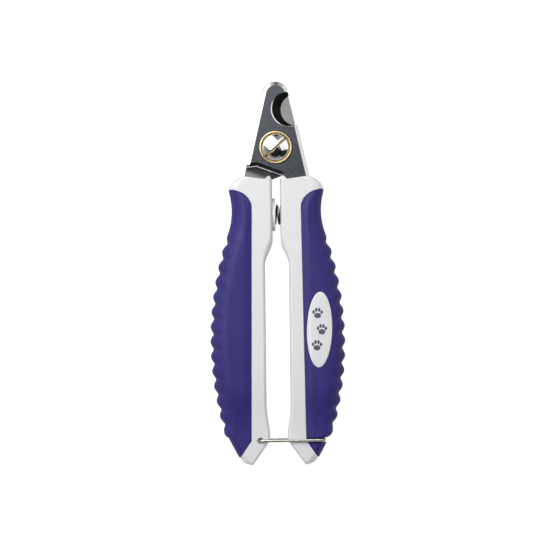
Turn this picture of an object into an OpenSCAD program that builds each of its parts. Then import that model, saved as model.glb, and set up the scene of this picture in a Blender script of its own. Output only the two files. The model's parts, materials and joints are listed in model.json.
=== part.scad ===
// Scissor-type nail clipper for pets, lying on its back, closed, with its wire latch on.
// Frame: +X to the right handle, +Y to the blade tips, +Z up from the surface it lies on.
// In the outlines below, d is the distance down the tool from the pivot, and x the distance
// out from its centre line. Both handles and both blades are mirror images, apart from the
// details that the latch, the spring and the badge need.

/* [Pivot] */
// Distance of the pivot from the middle of the tool's length
pivot_y = 49.3; // [48:0.1:50]
// Radius of the pivot screw's shank
screw_r = 2.5; // [2:0.1:2.8]
// Radius of the screw's domed head
head_r = 5.3; // [5:0.1:5.4]
// Outer radius of the brass bush's rim
rim_r = 6.4; // [6.2:0.1:7]
// Direction of the screw's slot, from +X
slot_angle = 42; // [0:1:180]

/* [Blades] */
// Thickness of each blade
blade_t = 2.5; // [2:0.1:2.8]
// Gap between the blades' sliding faces
blade_gap = 0.06; // [0.04:0.01:0.1]
// Radius of the rounded tips
tip_r = 5.1; // [4.8:0.1:5.3]
// Width of the bevel along the outer edges
bevel_w = 1.35; // [0.6:0.05:1.5]
// Depth of that bevel
bevel_h = 0.9; // [0.4:0.1:1.2]
// Radius of the nail notch on the blade's outer face
notch_face_r = 6.9; // [6.5:0.1:7.1]
// Radius of the nail notch's cutting edge
notch_edge_r = 6.1; // [5.6:0.1:6.3]

/* [Handles] */
// Half the thickness of the cores
face_half = 7.2; // [6.8:0.1:7.6]
// Half the thickness of the handles at their ends
tail_half = 6.3; // [6:0.1:6.4]
// How far the grips stand proud of the cores
crown = 0.8; // [0.7:0.05:1]
// Gap between the closed handles at the spring
throat_gap = 3.1; // [2.9:0.1:3.6]
// Gap between the closed handles at mid length
middle_gap = 9.3; // [8.9:0.1:10.3]
// Number of ridges along each grip
ridge_count = 14; // [14:1:14]
// Distance between two ridges
ridge_pitch = 5.89; // [5.8:0.01:5.9]
// Depth of the valleys between them
ridge_depth = 1.15; // [0.8:0.05:1.3]

/* [Spring] */
// Mean radius of the coil
coil_r = 3.55; // [3.3:0.05:3.6]
// Diameter of the spring's wire
coil_wire = 0.85; // [0.7:0.05:0.9]
// Number of turns
coil_turns = 8; // [6:1:8]

/* [Latch] */
// Diameter of the latch's wire
latch_wire_d = 1.2; // [1:0.05:1.2]
// Distance from the latch's hinge to its crosspiece
latch_reach = 24.85; // [24.6:0.05:25]
// Gap between the latch's legs and the handles' faces
latch_play = 0.12; // [0.1:0.02:0.2]

/* [Badge] */
// Length of the oval badge
badge_len = 29.6; // [26:0.1:30]
// Width of the oval badge
badge_w = 9.9; // [8:0.1:10]

/* [Hidden] */

mid_z = face_half + crown;
fine = 96;
cut = 0.5;                    // how far a cutting shape runs past what it cuts
snug = 0.02;                  // gap between two pieces that are pressed or moulded together
join = 0.1;                   // how far two shapes of one piece run into each other

// Blades: corners of the stamping, [x, y] from the pivot, and its notch
front_z = mid_z + blade_gap / 2;
rear_z = mid_z - blade_gap / 2 - blade_t;
tip_at = [0.2, 20.6];
heel_at = [-11.3, -6.2];
heel_drop = 1.65;
to_tip = tip_at - heel_at;
side_angle = atan2(to_tip[1], to_tip[0]) + asin(tip_r / norm(to_tip));
shoulder_at = tip_at + tip_r * [-sin(side_angle), cos(side_angle)];
notch_face_at = [5.4, 15.05];
notch_edge_at = [8.2, 14.6];
horn_at = [8.9, 7.8];
tang_in = 7.2;                // tang's inner side, clear of the spring's seat
tang_out = 12;
tang_end = 44;
lock_hole_r = 1.4;
lock_hole_d = [34, 40.5];
root_at = [13.2, -11.3];      // where the spine goes into the handle
belly = [[-7.5, -7.55], [2.84, -11.35], [4.6, -12.9], [tang_in, -19]];
lug_belly = [[-7.5, -7.55], [-2.6, -9.35], [-2.6, -11.1], [1.5, -12.6], [4.6, -13.1], [tang_in, -19]];
tip_flat_x = 5.05;            // the tip is ground flat on the notch's side

// Pivot stack, from the front: bush rim, screw head, blades, lock washer, nut
sleeve_r = screw_r + 1;
turn_gap = 0.05;
flange_t = 0.8;
rim_h = 1.5;
head_h = 2.3;
head_edge_h = 0.7;
head_play = 0.1;
screw_end = 0.4;              // how far the screw stands out of the nut
slot_w = 1;
slot_depth = 1.1;
washer_t = 1;
washer_r = 4.6;
washer_split = 0.7;
nut_t = 2.5;
nut_flats = 8;

// Handles: places down the tool where the outline changes
top_d = 11.2;
end_d = 124.3;
flare_d = 36.3;
flare_len = 9.8;
knee_d = 114.6;
knee_x = 3.2;
knee_len = 14;
end_x = 10.3;
shoulder_x = 11.5;
shoulder_d = 17.8;
shoulder_a = 7.3;
shoulder_b = 6.6;
waist_x = 17.5;
waist_d = 24.8;
waist_curve = 0.0195;
widest_x = 26.4;
widest_d = 75.9;
crest_r = 128;
first_ridge = 34.55;
last_ridge = first_ridge + (ridge_count - 1) * ridge_pitch;
lobe_r = 2.5;
tail_x = 19.8;
tail_d = 113.5;
tail_slope = 0.5336;
nose_d = 121.2;
nose_a = 4.7;
grip_top = 16.42;
grip_end = 121.1;
seam_r = [8.7, 7.2];
seam_top = [18.3, 23.6];
seam_low = [10.7, 114.8];
seam_slope = 0.6875;
skin = 3.6;                   // thickness of the grip over the core's tongue
tongue_half = 4.2;
tongue_d = [18.2, 110];
tongue_root = 8;
edge_w = 1.1;                 // rounding of the core's inner edges, across and in depth
edge_h = 3.2;
flare_edge_w = 1.5;           // extra width of that rounding where the gap flares
flare_edge_d = 39.5;
flare_edge_len = 3;
rim_line = [[1.3, 12.9], [2, 12.1], [2.45, 11.25], [3.2, 11.3], [4.4, 12.4], [13.4, 11.2]];

// Spring and its seats
spring_d = 26.4;
seat_r = 4.3;
seat_x = 6.4;
cup_floor_x = 5.8;
cup_wall = 0.9;
cup_lip_r = 6.4;
cup_lip_x = [0.45, throat_gap / 2];

// Latch
hinge_at = [-7.2, -114.7];
wire_r = latch_wire_d / 2;
leg_z = tail_half + latch_play + wire_r;
hinge_bend = 1.2;
corner_bend = 1.6;
hinge_depth = 3.5;
hinge_hole_r = wire_r + 0.08;
dimple_r = 1.3;
dimple_depth = 2;
notch_d = [114, 115.6];
groove_d = [113.6, 115.6];
notch_x = 16.95;
lobe_at = [17.95, 110.5];     // rounding of the corner above the notch
lobe_round = 3.2;
lobe_rise = 2.3;              // straight stretch above that corner, up to the last valley
groove_depth = 0.8;

// Badge
badge_at = [16.34, -71.5];
badge_tilt = -1.9;
badge_proud = 0.15;
badge_t = 1.4;

// ---- formulas ----

function ease(t) = let (c = min(1, max(0, t))) c * c * (3 - 2 * c);
function mix(a, b, t) = a + (b - a) * t;
function soft_max(a, b, k) = (a + b + sqrt((a - b) * (a - b) + k * k)) / 2;
function soft_min(a, b, k) = (a + b - sqrt((a - b) * (a - b) + k * k)) / 2;
function steps(a, b, n) = [for (i = [0 : n]) mix(a, b, i / n)];
function reversed(list) = [for (i = [len(list) - 1 : -1 : 0]) list[i]];

// Inner edge of a handle: narrow at the spring, wider below it, in again at the knee
function inner_side(d) = throat_gap / 2
    + (middle_gap - throat_gap) / 2 * ease((d - flare_d) / flare_len)
    - (middle_gap / 2 - knee_x) * ease((d - knee_d + knee_len) / knee_len);
function inner_end(d) = mix(knee_x, end_x, (d - knee_d) / (end_d - knee_d));
function inner_x(d) = soft_max(inner_side(d), inner_end(d), 0.8);
function inner_round(d) = let (q = (d - flare_edge_d) / flare_edge_len)
    edge_w + flare_edge_w * exp(-q * q);

// Outer edge of a handle: shoulder, waist, ridged curve, a last lobe, a straight and the nose
function shoulder(d) = let (q = (shoulder_d - d) / shoulder_b)
    shoulder_x + shoulder_a * sqrt(max(0, 1 - q * q));
function waist(d) = waist_x + waist_curve * (d - waist_d) * (d - waist_d);
function crest(d) = let (q = d - widest_d) widest_x - crest_r + sqrt(crest_r * crest_r - q * q);
function lobe(d) = let (q = d - last_ridge)
    crest(last_ridge) - lobe_r + sqrt(lobe_r * lobe_r - q * q);
function tail(d) = tail_x - tail_slope * (d - tail_d);
function nose(d) = let (q = (d - nose_d) / (end_d - nose_d))
    end_x + nose_a * pow(max(0, 1 - q * q), 0.6);
function wave(c) = (sqrt(c * c + 0.12) - sqrt(0.12)) / (sqrt(1.12) - sqrt(0.12));
function ridge(d) = d < first_ridge || d > last_ridge ? 0
    : ridge_depth * (1 - wave(cos(180 * (d - first_ridge) / ridge_pitch)));
function outer_smooth(d) = d < shoulder_d ? soft_min(shoulder(d), waist(d), 0.3)
    : d < flare_d ? waist(d)
    : d < last_ridge ? min(waist(d), crest(d))
    : d < last_ridge + lobe_r ? max(lobe(d), tail(d))
    : d < nose_d ? tail(d)
    : nose(d);
function outer_x(d) = outer_smooth(d) - ridge(d);

// Seam between core and grip: a quarter ellipse, then two straights
function seam_x(d) = d < seam_top[1]
    ? let (q = (seam_top[1] - d) / seam_r[1]) seam_top[0] - seam_r[0] * sqrt(max(0, 1 - q * q))
    : d < seam_low[1]
    ? mix(seam_top[0] - seam_r[0], seam_low[0], (d - seam_top[1]) / (seam_low[1] - seam_top[1]))
    : seam_low[0] + seam_slope * (d - seam_low[1]);

// Half thickness: flat core, a grip crowned above it, and an outer edge that is fully round
function face_z(d) = mix(face_half, tail_half, ease((d - 92) / 18));
function round_w(d) = 3.5 + 4 * ease((d - 14) / 16) - 4 * ease((d - 100) / 14);
function edge_round(e, d) = let (q = 1 - min(1, max(0, e) / round_w(d)))
    max(0.01, sqrt(1 - pow(q, 2.4)));
function crown_left(d) = crown * ease((d - 16) / 12) * (1 - ease((d - 96) / 17));
function crown_right(d) = d > notch_d[1] ? 0
    : crown * ease((d - 16) / 12) * (1 - 0.4 * ease((d - 96) / 17));
function half_z(x, d, proud) =
    (face_z(d) + proud * ease((x - seam_x(d)) / 3)) * edge_round(outer_x(d) - x, d);

// ---- lofts: one ring of points in each plane across the tool ----

function core_top(d) =
    let (a = inner_x(d), b = d < grip_top || d > grip_end ? outer_x(d) : seam_x(d))
    let (r = min(inner_round(d), 0.33 * (b - a)))
    concat(
        [
            for (t = [0 : 30 : 90])
            [a + r * (1 - cos(t)), half_z(a + r, d, 0) - edge_h * (1 - sin(t))]
        ],
        [for (i = [1 : 6]) let (x = mix(a + r, b, i / 6)) [x, half_z(x, d, 0)]]
    );
function grip_top_line(d, proud) =
    let (a = seam_x(d), b = outer_x(d))
    let (m = min(0.9 * (b - a), round_w(d)))
    let (base = b - a - m)
    concat(
        [for (x = [a, a + min(1.5, base / 3), a + min(3, base * 2 / 3)]) [x, half_z(x, d, proud)]],
        [for (f = [1, 0.72, 0.48, 0.28, 0.13, 0.04, 0]) [b - m * f, half_z(b - m * f, d, proud)]]
    );
function ring(top, d) = concat(
    [for (p = top) [p[0], -d, mid_z + p[1]]],
    [for (p = reversed(top)) [p[0], -d, mid_z - p[1]]]
);

module loft(rings) {
    n = len(rings[0]);
    last = len(rings) - 1;
    sides = [
        for (i = [0 : last - 1], j = [0 : n - 1])
        let (a = i * n + j, b = i * n + (j + 1) % n)
        each [[a, b, b + n], [a, b + n, a + n]]
    ];
    caps = [[for (j = [n - 1 : -1 : 0]) j], [for (j = [0 : n - 1]) last * n + j]];
    polyhedron([for (r = rings) each r], concat(sides, caps));
}

seam_stops = [grip_top, 16.6, 17, 17.8, 19, 20.8, seam_top[1]];
core_stops = concat(
    steps(top_d, 16.41, 5), seam_stops, steps(26, 34, 2), steps(35.6, 46.8, 8), [70, 92, 101],
    steps(104, 119, 7), [grip_end, 121.5, 122.6, 123.5, 124.1, end_d]
);
ridge_stops = [
    for (k = [0 : ridge_count - 2], f = [0, 0.3, 0.5, 0.7]) first_ridge + (k + f) * ridge_pitch
];
grip_stops = concat(
    seam_stops, [26, 30, 33], ridge_stops,
    [last_ridge, 112, 112.8, 113.3, 113.5, 114.4, 115.5, 115.7, 117.5, 119.5, grip_end]
);

module core_loft() {
    loft([for (d = core_stops) ring(core_top(d), d)]);
}

module grip_loft(right, lift = 0) {
    loft([
        for (d = grip_stops)
        let (top = grip_top_line(d, right ? crown_right(d) : crown_left(d)))
        ring([for (p = top) [p[0], p[1] + lift]], d)
    ]);
}

// ---- shapes that two or more sub-parts share ----

module at_pivot() {
    translate([0, pivot_y, 0])
        children();
}

module prism(z0, z1) {
    translate([0, 0, z0])
        linear_extrude(z1 - z0)
            children();
}

// The stamping without its notch, as the front blade lies; the rear one has a lug below the pivot
module blade_outline(lug) {
    polygon(concat(
        [root_at, horn_at, [tip_flat_x, 21.5], tip_at, shoulder_at, heel_at],
        [heel_at - [0, heel_drop]], lug ? lug_belly : belly,
        [[tang_in, -tang_end], [tang_out, -tang_end], [tang_out, -20]]
    ));
    translate(tip_at)
        circle(tip_r, $fn = fine);
    translate([(tang_in + tang_out) / 2, -tang_end])
        circle((tang_out - tang_in) / 2, $fn = fine);
}

module lock_holes() {
    for (d = lock_hole_d)
        translate([(tang_in + tang_out) / 2, -d])
            circle(lock_hole_r, $fn = fine);
}

// Cross-section of what a bevel takes off: inwards is -X, and the blade's outer face is at 0
module bevel_section() {
    past = 2;
    polygon([
        [-bevel_w, 0], [-bevel_w, 1], [past, 1], [past, -bevel_h * (1 + past / bevel_w)]
    ]);
}

// A wedge that bevels the upper edge from a to b, which has the blade on its right; it starts
// a little before a
module edge_bevel(a, b) {
    run = b - a;
    before = 1.3;
    translate([a[0], a[1], blade_t])
        rotate([0, 0, atan2(run[1], run[0])])
            translate([-before, 0, 0])
                rotate([90, 0, 90])
                    linear_extrude(norm(run) + before + snug)
                        bevel_section();
}

module tip_bevel() {
    translate([tip_at[0], tip_at[1], 0])
        rotate_extrude(angle = 90 + side_angle, $fn = fine)
            translate([tip_r, blade_t])
                bevel_section();
}

// One blade, outer face up, sliding face at Z = 0
module blade(lug) {
    difference() {
        prism(0, blade_t)
            difference() {
                blade_outline(lug);
                lock_holes();
                circle(sleeve_r + turn_gap, $fn = fine);
                translate([tip_flat_x, 18])
                    square([10, 10]);
            }
        hull() {
            translate([notch_edge_at[0], notch_edge_at[1], -0.02])
                cylinder(h = 0.01, r = notch_edge_r, $fn = fine);
            translate([notch_face_at[0], notch_face_at[1], blade_t + 0.01])
                cylinder(h = 0.01, r = notch_face_r, $fn = fine);
        }
        edge_bevel(heel_at, shoulder_at);
        edge_bevel(horn_at, root_at);
        tip_bevel();
    }
}

// The space that a blade's tang takes up inside a core
module tang_space(lug) {
    prism(-snug, blade_t + snug)
        difference() {
            blade_outline(lug);
            lock_holes();
        }
}

// The core's tongue, which the grip is moulded over
module tongue() {
    edge = [for (d = steps(tongue_d[0], tongue_d[1], 16)) [outer_smooth(d) - skin, -d]];
    prism(mid_z - tongue_half, mid_z + tongue_half)
        polygon(concat([[tongue_root, -tongue_d[0]]], edge, [[tongue_root, -tongue_d[1]]]));
}

// All that lies above a handle's rim, whose line steps up to a nib beside the gap
module above_rim() {
    line = [for (p = rim_line) [p[0], -p[1]]];
    prism(-1, 2 * mid_z + 1)
        polygon(concat([[0, -rim_line[0][1]]], line, [[20, -top_d], [20, 0], [0, 0]]));
}

module seat_bore(r, x0, x1) {
    translate([x0, -spring_d, mid_z])
        rotate([0, 90, 0])
            cylinder(h = x1 - x0, r = r, $fn = fine);
}

// The badge's ellipse; trim is taken off it all round
module badge_oval(z0, z1, trim = 0) {
    a = badge_len / 2 - trim;
    b = badge_w / 2 - trim;
    translate([badge_at[0], badge_at[1], 0])
        rotate([0, 0, badge_tilt])
            prism(z0, z1)
                polygon([for (t = [0 : 7.5 : 352.5]) [b * cos(t), a * sin(t)]]);
}

// ---- sub-parts ----

module front_blade() {
    color("slategray")
        at_pivot()
            translate([0, 0, front_z])
                blade(false);
}

module rear_blade() {
    color("darkgray")
        at_pivot()
            translate([0, 0, rear_z + blade_t])
                rotate([0, 180, 0])
                    blade(true);
}

// Brass bush: a sleeve that the front blade turns on, and a rim round the screw's head
module pivot_bush() {
    z = front_z + blade_t + turn_gap;
    color("gold")
        at_pivot()
            difference() {
                union() {
                    translate([0, 0, rear_z])
                        cylinder(h = z - rear_z + join, r = sleeve_r, $fn = fine);
                    translate([0, 0, z])
                        cylinder(h = rim_h, r = rim_r, $fn = fine);
                }
                translate([0, 0, rear_z - cut])
                    cylinder(h = 2 * mid_z, r = screw_r + snug, $fn = fine);
                translate([0, 0, z + flange_t])
                    cylinder(h = rim_h, r = head_r + head_play, $fn = fine);
            }
}

// Slotted screw with a domed head that sits in the bush
module pivot_screw() {
    z = front_z + blade_t + turn_gap + flange_t;
    low = rear_z - washer_t - nut_t - screw_end;
    dome_h = head_h - head_edge_h;
    dome_r = (head_r * head_r + dome_h * dome_h) / (2 * dome_h);
    color("silver")
        at_pivot()
            difference() {
                union() {
                    translate([0, 0, low])
                        cylinder(h = z - low + join, r = screw_r, $fn = fine);
                    translate([0, 0, z])
                        cylinder(h = head_edge_h, r = head_r, $fn = fine);
                    intersection() {
                        translate([0, 0, z + head_h - dome_r])
                            sphere(dome_r, $fn = fine);
                        translate([0, 0, z + head_edge_h - snug])
                            cylinder(h = dome_h + 1, r = head_r, $fn = fine);
                    }
                }
                rotate([0, 0, slot_angle])
                    translate([-head_r - 1, -slot_w / 2, z + head_h - slot_depth])
                        cube([2 * head_r + 2, slot_w, 3]);
            }
}

// Split spring washer between the rear blade and the nut
module lock_washer() {
    color("gray")
        at_pivot()
            translate([0, 0, rear_z - washer_t])
                difference() {
                    cylinder(h = washer_t, r = washer_r, $fn = fine);
                    translate([0, 0, -cut])
                        cylinder(h = washer_t + 2 * cut, r = screw_r + 0.15, $fn = fine);
                    rotate([0, 0, 200])
                        translate([0, -washer_split / 2, -cut])
                            cube([washer_r + 1, washer_split, washer_t + 2 * cut]);
                }
}

module pivot_nut() {
    color("silver")
        at_pivot()
            translate([0, 0, rear_z - washer_t - nut_t])
                difference() {
                    intersection() {
                        cylinder(h = nut_t, r = nut_flats / 2 / cos(30), $fn = 6);
                        cylinder(h = 4, r1 = nut_flats / 2 + join, r2 = nut_flats / 2 + 4 + join, $fn = fine);
                    }
                    translate([0, 0, -cut])
                        cylinder(h = nut_t + 2 * cut, r = screw_r + snug, $fn = fine);
                }
}

module right_core() {
    color("gainsboro")
        at_pivot()
            difference() {
                union() {
                    core_loft();
                    tongue();
                }
                above_rim();
                translate([0, 0, front_z])
                    tang_space(false);
                seat_bore(seat_r, 0, seat_x);
            }
}

module left_core() {
    color("gainsboro")
        at_pivot()
            difference() {
                mirror([1, 0, 0])
                    difference() {
                        union() {
                            core_loft();
                            tongue();
                        }
                        above_rim();
                        seat_bore(seat_r + cup_wall, 0, cup_floor_x + cup_wall);
                    }
                translate([0, 0, rear_z + blade_t])
                    rotate([0, 180, 0])
                        tang_space(true);
                translate([hinge_at[0], hinge_at[1], 0])
                    cylinder(h = 2 * mid_z, r = hinge_hole_r, $fn = fine);
                for (z = [mid_z - tail_half - 1, mid_z + tail_half - dimple_depth])
                    translate([hinge_at[0], hinge_at[1], z])
                        cylinder(h = dimple_depth + 1, r = dimple_r, $fn = fine);
            }
}

module left_grip() {
    color("slateblue")
        at_pivot()
            mirror([1, 0, 0])
                difference() {
                    grip_loft(false);
                    tongue();
                }
}

// What rounds the right grip's outer corner above the latch's notch
module lobe_corner() {
    translate([lobe_at[0], -lobe_at[1]])
        difference() {
            translate([0, -lobe_round - 0.5])
                square([8, lobe_round + 0.5 + lobe_rise]);
            circle(lobe_round, $fn = fine);
            square([lobe_round, lobe_rise]);
        }
}

// The right grip has the latch's notch, a groove on each face for its legs, and the badge's pocket
module right_grip() {
    groove_z = tail_half - groove_depth;
    color("darkslateblue")
        at_pivot()
            difference() {
                grip_loft(true);
                tongue();
                translate([notch_x, -notch_d[1], -1])
                    cube([8, notch_d[1] - notch_d[0], 2 * mid_z + 2]);
                prism(-1, 2 * mid_z + 1)
                    lobe_corner();
                for (z = [mid_z - groove_z - 5, mid_z + groove_z])
                    translate([seam_low[0] - 2, -groove_d[1], z])
                        cube([14, groove_d[1] - groove_d[0], 5]);
                badge_oval(2 * mid_z - badge_t, 2 * mid_z + 2);
            }
}

module grip_badge() {
    color("white")
        at_pivot()
            intersection() {
                grip_loft(true, badge_proud);
                badge_oval(2 * mid_z - badge_t, 2 * mid_z + 2, 2 * snug);
            }
}

// Plastic cup in the left core that holds the spring's end
module spring_cup() {
    color("lightgray")
        at_pivot()
            mirror([1, 0, 0])
                difference() {
                    union() {
                        seat_bore(cup_lip_r, cup_lip_x[0], cup_lip_x[1]);
                        seat_bore(seat_r + cup_wall, cup_lip_x[0] + 0.1, cup_floor_x + cup_wall);
                    }
                    seat_bore(seat_r, 0, cup_floor_x);
                }
}

// Compression coil between the cup and the seat in the right core
module return_spring() {
    r = coil_wire / 2;
    x0 = -cup_floor_x + r + snug;
    x1 = seat_x - r - snug;
    per_turn = 14;
    sides = 6;
    count = coil_turns * per_turn;
    turn = [for (i = [0 : count])
        let (a = 360 * i / per_turn, x = mix(x0, x1, i / count))
        [for (k = [0 : sides - 1])
            let (b = 360 * k / sides, q = coil_r + r * cos(b))
            [x + r * sin(b), -spring_d + q * cos(a), mid_z + q * sin(a)]]];
    color("dimgray")
        at_pivot()
            loft(turn);
}

// Half of the bail, from the middle of its crosspiece round to its end in the hinge hole
module latch_half() {
    straight_z = leg_z - corner_bend;
    translate([latch_reach, 0, 0])
        cylinder(h = straight_z, r = wire_r, $fn = 48);
    translate([latch_reach - corner_bend, 0, straight_z])
        rotate([90, 0, 0])
            rotate_extrude(angle = 90, $fn = 96)
                translate([corner_bend, 0])
                    circle(wire_r, $fn = 48);
    translate([hinge_bend, 0, leg_z])
        rotate([0, 90, 0])
            cylinder(h = latch_reach - hinge_bend - corner_bend, r = wire_r, $fn = 48);
    translate([hinge_bend, 0, leg_z - hinge_bend])
        rotate([90, 0, 0])
            rotate([0, 0, 90])
                rotate_extrude(angle = 90, $fn = 96)
                    translate([hinge_bend, 0])
                        circle(wire_r, $fn = 48);
    translate([0, 0, tail_half - hinge_depth])
        cylinder(h = leg_z - hinge_bend - tail_half + hinge_depth, r = wire_r, $fn = 48);
}

module latch_wire() {
    color("lightsteelblue")
        at_pivot()
            translate([hinge_at[0], hinge_at[1], mid_z]) {
                latch_half();
                mirror([0, 0, 1])
                    latch_half();
            }
}

front_blade();
rear_blade();
pivot_bush();
pivot_screw();
lock_washer();
pivot_nut();
left_core();
right_core();
left_grip();
right_grip();
grip_badge();
spring_cup();
return_spring();
latch_wire();
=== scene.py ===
"""Scissor-type nail clipper, lying on its back, closed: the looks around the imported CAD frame.

Sizes are in millimetres, and places are measured from the pivot's middle: x out from the centre
line, y towards the blade tips, z up from the plane between the two blades. d is the distance
down the tool from the pivot, so d = -y. The outline formulas are the CAD model's own.
"""
import json
import math

import bmesh
import bpy
from mathutils import Matrix, Vector


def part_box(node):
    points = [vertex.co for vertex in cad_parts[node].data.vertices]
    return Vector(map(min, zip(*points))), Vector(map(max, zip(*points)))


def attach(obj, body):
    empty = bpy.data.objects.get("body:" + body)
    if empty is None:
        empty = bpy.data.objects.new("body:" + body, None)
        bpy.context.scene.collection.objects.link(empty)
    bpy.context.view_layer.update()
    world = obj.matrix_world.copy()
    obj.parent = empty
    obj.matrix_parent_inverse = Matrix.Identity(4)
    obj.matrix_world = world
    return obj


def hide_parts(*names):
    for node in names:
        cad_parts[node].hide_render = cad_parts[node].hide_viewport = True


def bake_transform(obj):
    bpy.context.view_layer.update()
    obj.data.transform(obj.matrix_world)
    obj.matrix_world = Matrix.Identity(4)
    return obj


MM = 0.001
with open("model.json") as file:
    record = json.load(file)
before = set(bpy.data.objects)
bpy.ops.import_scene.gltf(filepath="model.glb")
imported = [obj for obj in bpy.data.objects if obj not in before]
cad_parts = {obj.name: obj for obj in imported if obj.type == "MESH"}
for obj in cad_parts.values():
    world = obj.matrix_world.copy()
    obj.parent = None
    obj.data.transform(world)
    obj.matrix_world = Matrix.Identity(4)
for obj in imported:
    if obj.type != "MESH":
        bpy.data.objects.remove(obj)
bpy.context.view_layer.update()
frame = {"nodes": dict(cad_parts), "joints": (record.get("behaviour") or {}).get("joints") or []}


def hinge(name):
    return next(j for j in frame["joints"] if j["name"] == name)


PIVOT = Vector(hinge("handle_pivot")["pos_m"]) / MM
LATCH_HINGE = Vector(hinge("latch_swing")["pos_m"]) / MM - PIVOT


def node_box(node):
    """Lowest and highest corner of a CAD node, in millimetres from the pivot."""
    low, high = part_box(node)
    return low / MM - PIVOT, high / MM - PIVOT


# ---- sizes ----

# handles, as in the CAD model
THROAT, MIDDLE = 1.55, 4.65
TOP_D, END_D = 11.2, 124.3
FLARE_D, FLARE_LEN = 36.3, 9.8
KNEE_D, KNEE_X, KNEE_LEN = 114.6, 3.2, 14.0
END_X, KNEE_ROUND = 10.3, 0.8
SHOULDER_X, SHOULDER_D, SHOULDER_A, SHOULDER_B, SHOULDER_ROUND = 11.5, 17.8, 7.3, 6.6, 0.3
WAIST_X, WAIST_D, WAIST_CURVE = 17.5, 24.8, 0.0195
WIDEST_X, WIDEST_D, CREST_R = 26.4, 75.9, 128.0
FIRST_RIDGE, RIDGES, PITCH, RIDGE_DEPTH = 34.55, 14, 5.89, 1.15
RIDGE_SOFT = 0.12             # how round the ridges' valleys are; 0 is a cusp
LAST_RIDGE = FIRST_RIDGE + (RIDGES - 1) * PITCH
RIDGE_REACH = 4.2             # how far in from the edge the ridges run out
LOBE_R = 2.5
TAIL_X, TAIL_D, TAIL_SLOPE = 19.8, 113.5, 0.5336
NOSE_D, NOSE_A, NOSE_POWER = 121.2, 4.7, 0.6
GRIP_TOP, GRIP_END = 16.42, 121.1
SEAM_RX, SEAM_RD = 8.7, 7.2
SEAM_TOP_X, SEAM_TOP_D = 18.3, 23.6
SEAM_LOW_X, SEAM_LOW_D, SEAM_SLOPE = 10.7, 114.8, 0.6875
FACE_HALF, TAIL_HALF, TAPER_D, TAPER_LEN = 7.2, 6.3, 92.0, 18.0
OUTER_ROUND, OUTER_SWELL = 3.5, 4.0    # width of the outer rounding at both ends, and its gain
SWELL_D, SWELL_LEN, SHRINK_D, SHRINK_LEN = 14.0, 16.0, 100.0, 14.0
OUTER_POWER = 2.4
CROWN, CROWN_W = 0.8, 3.0     # the grip's height over the core, and the width it rises in
CROWN_IN_D, CROWN_IN_LEN, CROWN_OUT_D, CROWN_OUT_LEN = 16.0, 12.0, 96.0, 17.0
RIGHT_FADE = 0.4              # share of its crown that the right grip loses above the latch
EDGE_W, EDGE_H = 1.1, 3.2
FLARE_EDGE_W, FLARE_EDGE_D, FLARE_EDGE_LEN = 1.5, 39.5, 3.0
RIM_LINE = [(1.3, 12.9), (2, 12.1), (2.45, 11.25), (3.2, 11.3), (4.4, 12.4), (13.4, 11.2)]
SEAM_ROUND, SEAM_GAP = 0.22, 0.02      # rounding of both edges along the seam, gap between them
FINE_D = 100.0                # below this the core's sections lie closer together
# how far up and down the cutters run, past both faces of a handle
PAST, PAST_TOP, PAST_HOLE = 10.0, 12.0, 9.0

# blades
BLADE_T, BLADE_GAP = 2.5, 0.06
TIP, TIP_R, TIP_FLAT_X = Vector((0.2, 20.6)), 5.1, 5.05
HEEL, HORN, ROOT = Vector((-11.3, -6.2)), Vector((8.9, 7.8)), Vector((13.2, -11.3))
BELLY = [(-11.3, -7.85), (-7.5, -7.55), (2.84, -11.35), (4.6, -12.9), (7.2, -19)]
LUG_BELLY = [*BELLY[:2], (-2.6, -9.35), (-2.6, -11.1), (1.5, -12.6), (4.6, -13.1), (7.2, -19)]
TANG_IN, TANG_OUT, TANG_END, TANG_TOP, TANG_PLAY = 7.2, 12.0, 44.0, 20.0, 0.02
LOCK_HOLE_R, LOCK_HOLES_D = 1.4, (34.0, 40.5)
TIP_CORNER_Y = 21.5
# what the ground edges lose, from the face to the edge: (distance in, height)
BEVEL = [(1.35, BLADE_T), (0, BLADE_T - 0.9)]
SPINE_BREAK = [(0.8, 0), (0, 0.45)]
BELLY_GRIND = [(1.75, BLADE_T), (0.38, BLADE_T - 0.33), (0, BLADE_T - 0.63)]
HEEL_LEAD, BELLY_LEAD = 0.45, 0.8      # how far ahead of the heel the grinding starts
BEVEL_SPAN, BREAK_SPAN = (-1.3, 6.0), (-4.0, 0.3)    # its ends past the horn and the root
NOTCH_FACE, NOTCH_FACE_R = Vector((5.4, 15.05)), 6.9
NOTCH_EDGE, NOTCH_EDGE_R = Vector((8.2, 14.6)), 6.1
RIM_W, RIM_DROP = 0.2, 0.16
EYE_R = 3.55
# painted shadow on a sliding face, where the other blade's belly shades it: (distance below the
# other blade's belly, shade)
BELLY_SHADOW = [(-1.4, 1), (-0.4, 0.16), (2.0, 0.18), (4.0, 0.85), (6, 0.95)]
FACE, GROUND, SLIDE, HOLLOW = range(4)  # a blade's materials, in this order

# pivot hardware
BORE_R, SLEEVE_R, FLANGE_H, SEAT_H, SEAT_RIM = 2.52, 3.5, 1.5, 0.8, 5.4
RIM_ROUND, RIM_LAND, RIM_CHAMFER, RIM_BREAK = 0.42, 0.12, 0.3, 0.15
SHANK_R, HEAD_R, HEAD_H, HEAD_EDGE_H, HEAD_ROUND = 2.5, 5.3, 2.3, 0.7, 0.9
SHANK_CHAMFER, HEAD_BREAK = 0.4, 0.1
SLOT_W, SLOT_DEPTH, SLOT_TURN = 1.0, 1.1, math.radians(42)

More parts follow.
